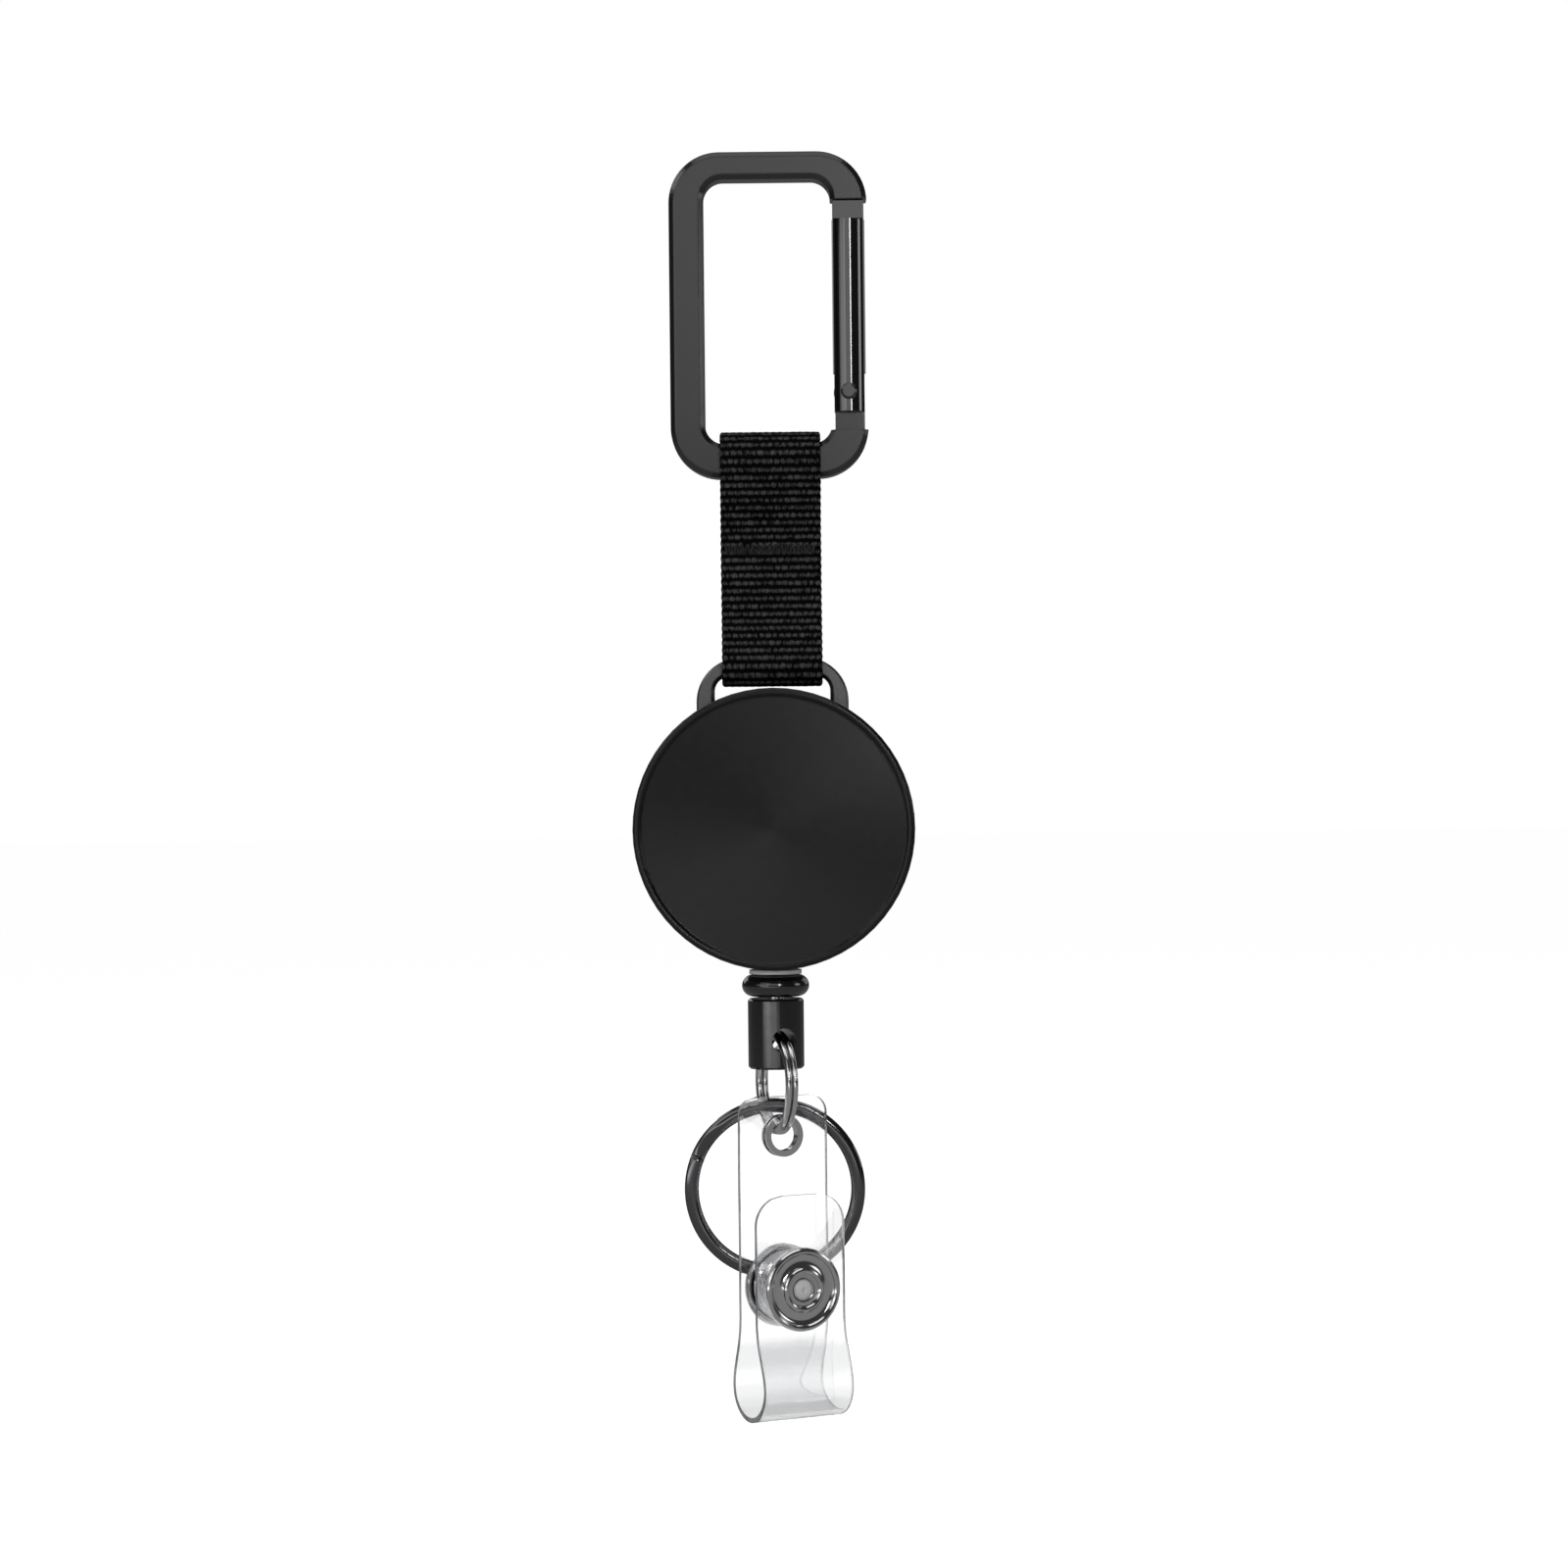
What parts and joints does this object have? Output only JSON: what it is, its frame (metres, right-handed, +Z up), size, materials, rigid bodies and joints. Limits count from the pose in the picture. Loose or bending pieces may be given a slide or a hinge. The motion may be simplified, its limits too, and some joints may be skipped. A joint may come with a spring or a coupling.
{
  "type": "retractable badge reel",
  "caption": "Retractable badge reel on a gated carabiner and webbing strap, with a swivel barrel, a split ring and a clear snap strap for a badge",
  "frame": {"origin": "the inside top of the carabiner, midway across its width and depth, where it hangs from a loop or a peg", "axes": "+Z points up along the chain, +Y points to the back of the reel, so the round front cover faces -Y, and +X points to the gate side"},
  "size_m": [0.04, 0.0198, 0.1801],
  "materials": {
    "anodised_black": "black anodised aluminium, satin",
    "gate_black": "black anodised aluminium, glossy",
    "rivet_steel": "dark steel",
    "spring_steel": "bare spring steel",
    "webbing": "woven black nylon webbing",
    "ring_black": "satin black coated metal",
    "housing": "smooth satin black moulded plastic",
    "spool_plastic": "natural acetal",
    "cord": "braided black cord",
    "gloss_black": "gloss black plated metal",
    "crimp_brass": "bare brass",
    "chrome_wire": "chromed steel",
    "dark_chrome": "dark nickel-plated steel",
    "nickel": "polished nickel plate",
    "clear_vinyl": "clear flexible vinyl"
  },
  "bodies": {
    "carabiner": {"carabiner_frame": "anodised_black", "gate_rivet": "rivet_steel"},
    "gate": {"carabiner_gate": "gate_black", "gate_plunger": "spring_steel", "gate_spring": "spring_steel"},
    "strap": {"webbing_strap": "webbing"},
    "neck": {"neck_ring": "ring_black"},
    "reel": {"front_cover": "housing", "rear_shell": "housing", "center_post": "spring_steel", "thrust_washer": "spool_plastic", "housing_screws": "rivet_steel", "outlet_bushing": "nickel"},
    "spool": {"spool_drum": "spool_plastic", "spring_cover": "spool_plastic", "clock_spring": "spring_steel", "cord_winding": "cord"},
    "pull": {"cord_lead": "cord", "stop_bead": "gloss_black", "cord_crimp": "crimp_brass", "swivel_pin": "nickel"},
    "barrel": {"swivel_barrel": "gloss_black"},
    "link": {"link_ring": "chrome_wire"},
    "key_ring": {"split_ring": "dark_chrome"},
    "badge": {"badge_strap_back": "clear_vinyl", "strap_eyelet": "nickel", "snap_cap": "nickel", "snap_socket": "nickel"},
    "flap": {"badge_strap_flap": "clear_vinyl", "snap_stud": "nickel", "snap_ring": "nickel"}
  },
  "joints": [
    {"name": "gate_hinge", "type": "hinge", "parent": "carabiner", "child": "gate", "pos_m": [0.0113, 0, -0.0303], "axis": [0, -1, 0], "range_deg": [0, 28], "stiffness_Nm_per_rad": 0.01, "springref_deg": -34.38},
    {"name": "strap_swing", "type": "hinge", "parent": "carabiner", "child": "strap", "pos_m": [0, 0, -0.0401], "axis": [1, 0, 0], "range_deg": [-50, 50]},
    {"name": "neck_swing", "type": "hinge", "parent": "strap", "child": "neck", "pos_m": [0, 0, -0.0694], "axis": [1, 0, 0], "range_deg": [-45, 45]},
    {"name": "reel_swing", "type": "hinge", "parent": "neck", "child": "reel", "pos_m": [0, 0, -0.0761], "axis": [1, 0, 0], "range_deg": [-10, 20]},
    {"name": "cord_pull", "type": "slide", "parent": "reel", "child": "pull", "axis": [0, 0, -1], "range_m": [0, 0.6], "stiffness_N_per_m": 2, "springref_m": -1, "deforming": ["cord_lead"]},
    {"name": "spool_spin", "type": "hinge", "parent": "reel", "child": "spool", "pos_m": [0, 0, -0.0925], "axis": [0, 1, 0], "range_deg": [0, 2760], "deforming": ["clock_spring"]},
    {"name": "barrel_swivel", "type": "hinge", "parent": "pull", "child": "barrel", "pos_m": [0, 0, -0.1217], "axis": [0, 0, 1], "continuous": true},
    {"name": "link_swing", "type": "hinge", "parent": "barrel", "child": "link", "pos_m": [0, 0, -0.1226], "axis": [0.319, -0.9478, 0], "range_deg": [-35, 35]},
    {"name": "split_ring_swing", "type": "hinge", "parent": "link", "child": "key_ring", "pos_m": [-0.0004, 0.0026, -0.13225], "axis": [1, 0, 0], "range_deg": [0, 40]},
    {"name": "badge_swing", "type": "hinge", "parent": "link", "child": "badge", "pos_m": [0.00076, -0.00228, -0.13511], "axis": [-0.8829, -0.4695, 0], "range_deg": [0, 15]},
    {"name": "flap_open", "type": "hinge", "parent": "badge", "child": "flap", "pos_m": [0.00431, -0.00894, -0.17085], "axis": [0.8829, 0.4695, 0], "range_deg": [0, 100]}
  ],
  "couplings": [
    {"joint": "spool_spin", "follows": "cord_pull", "rad_per_m": 80}
  ]
}
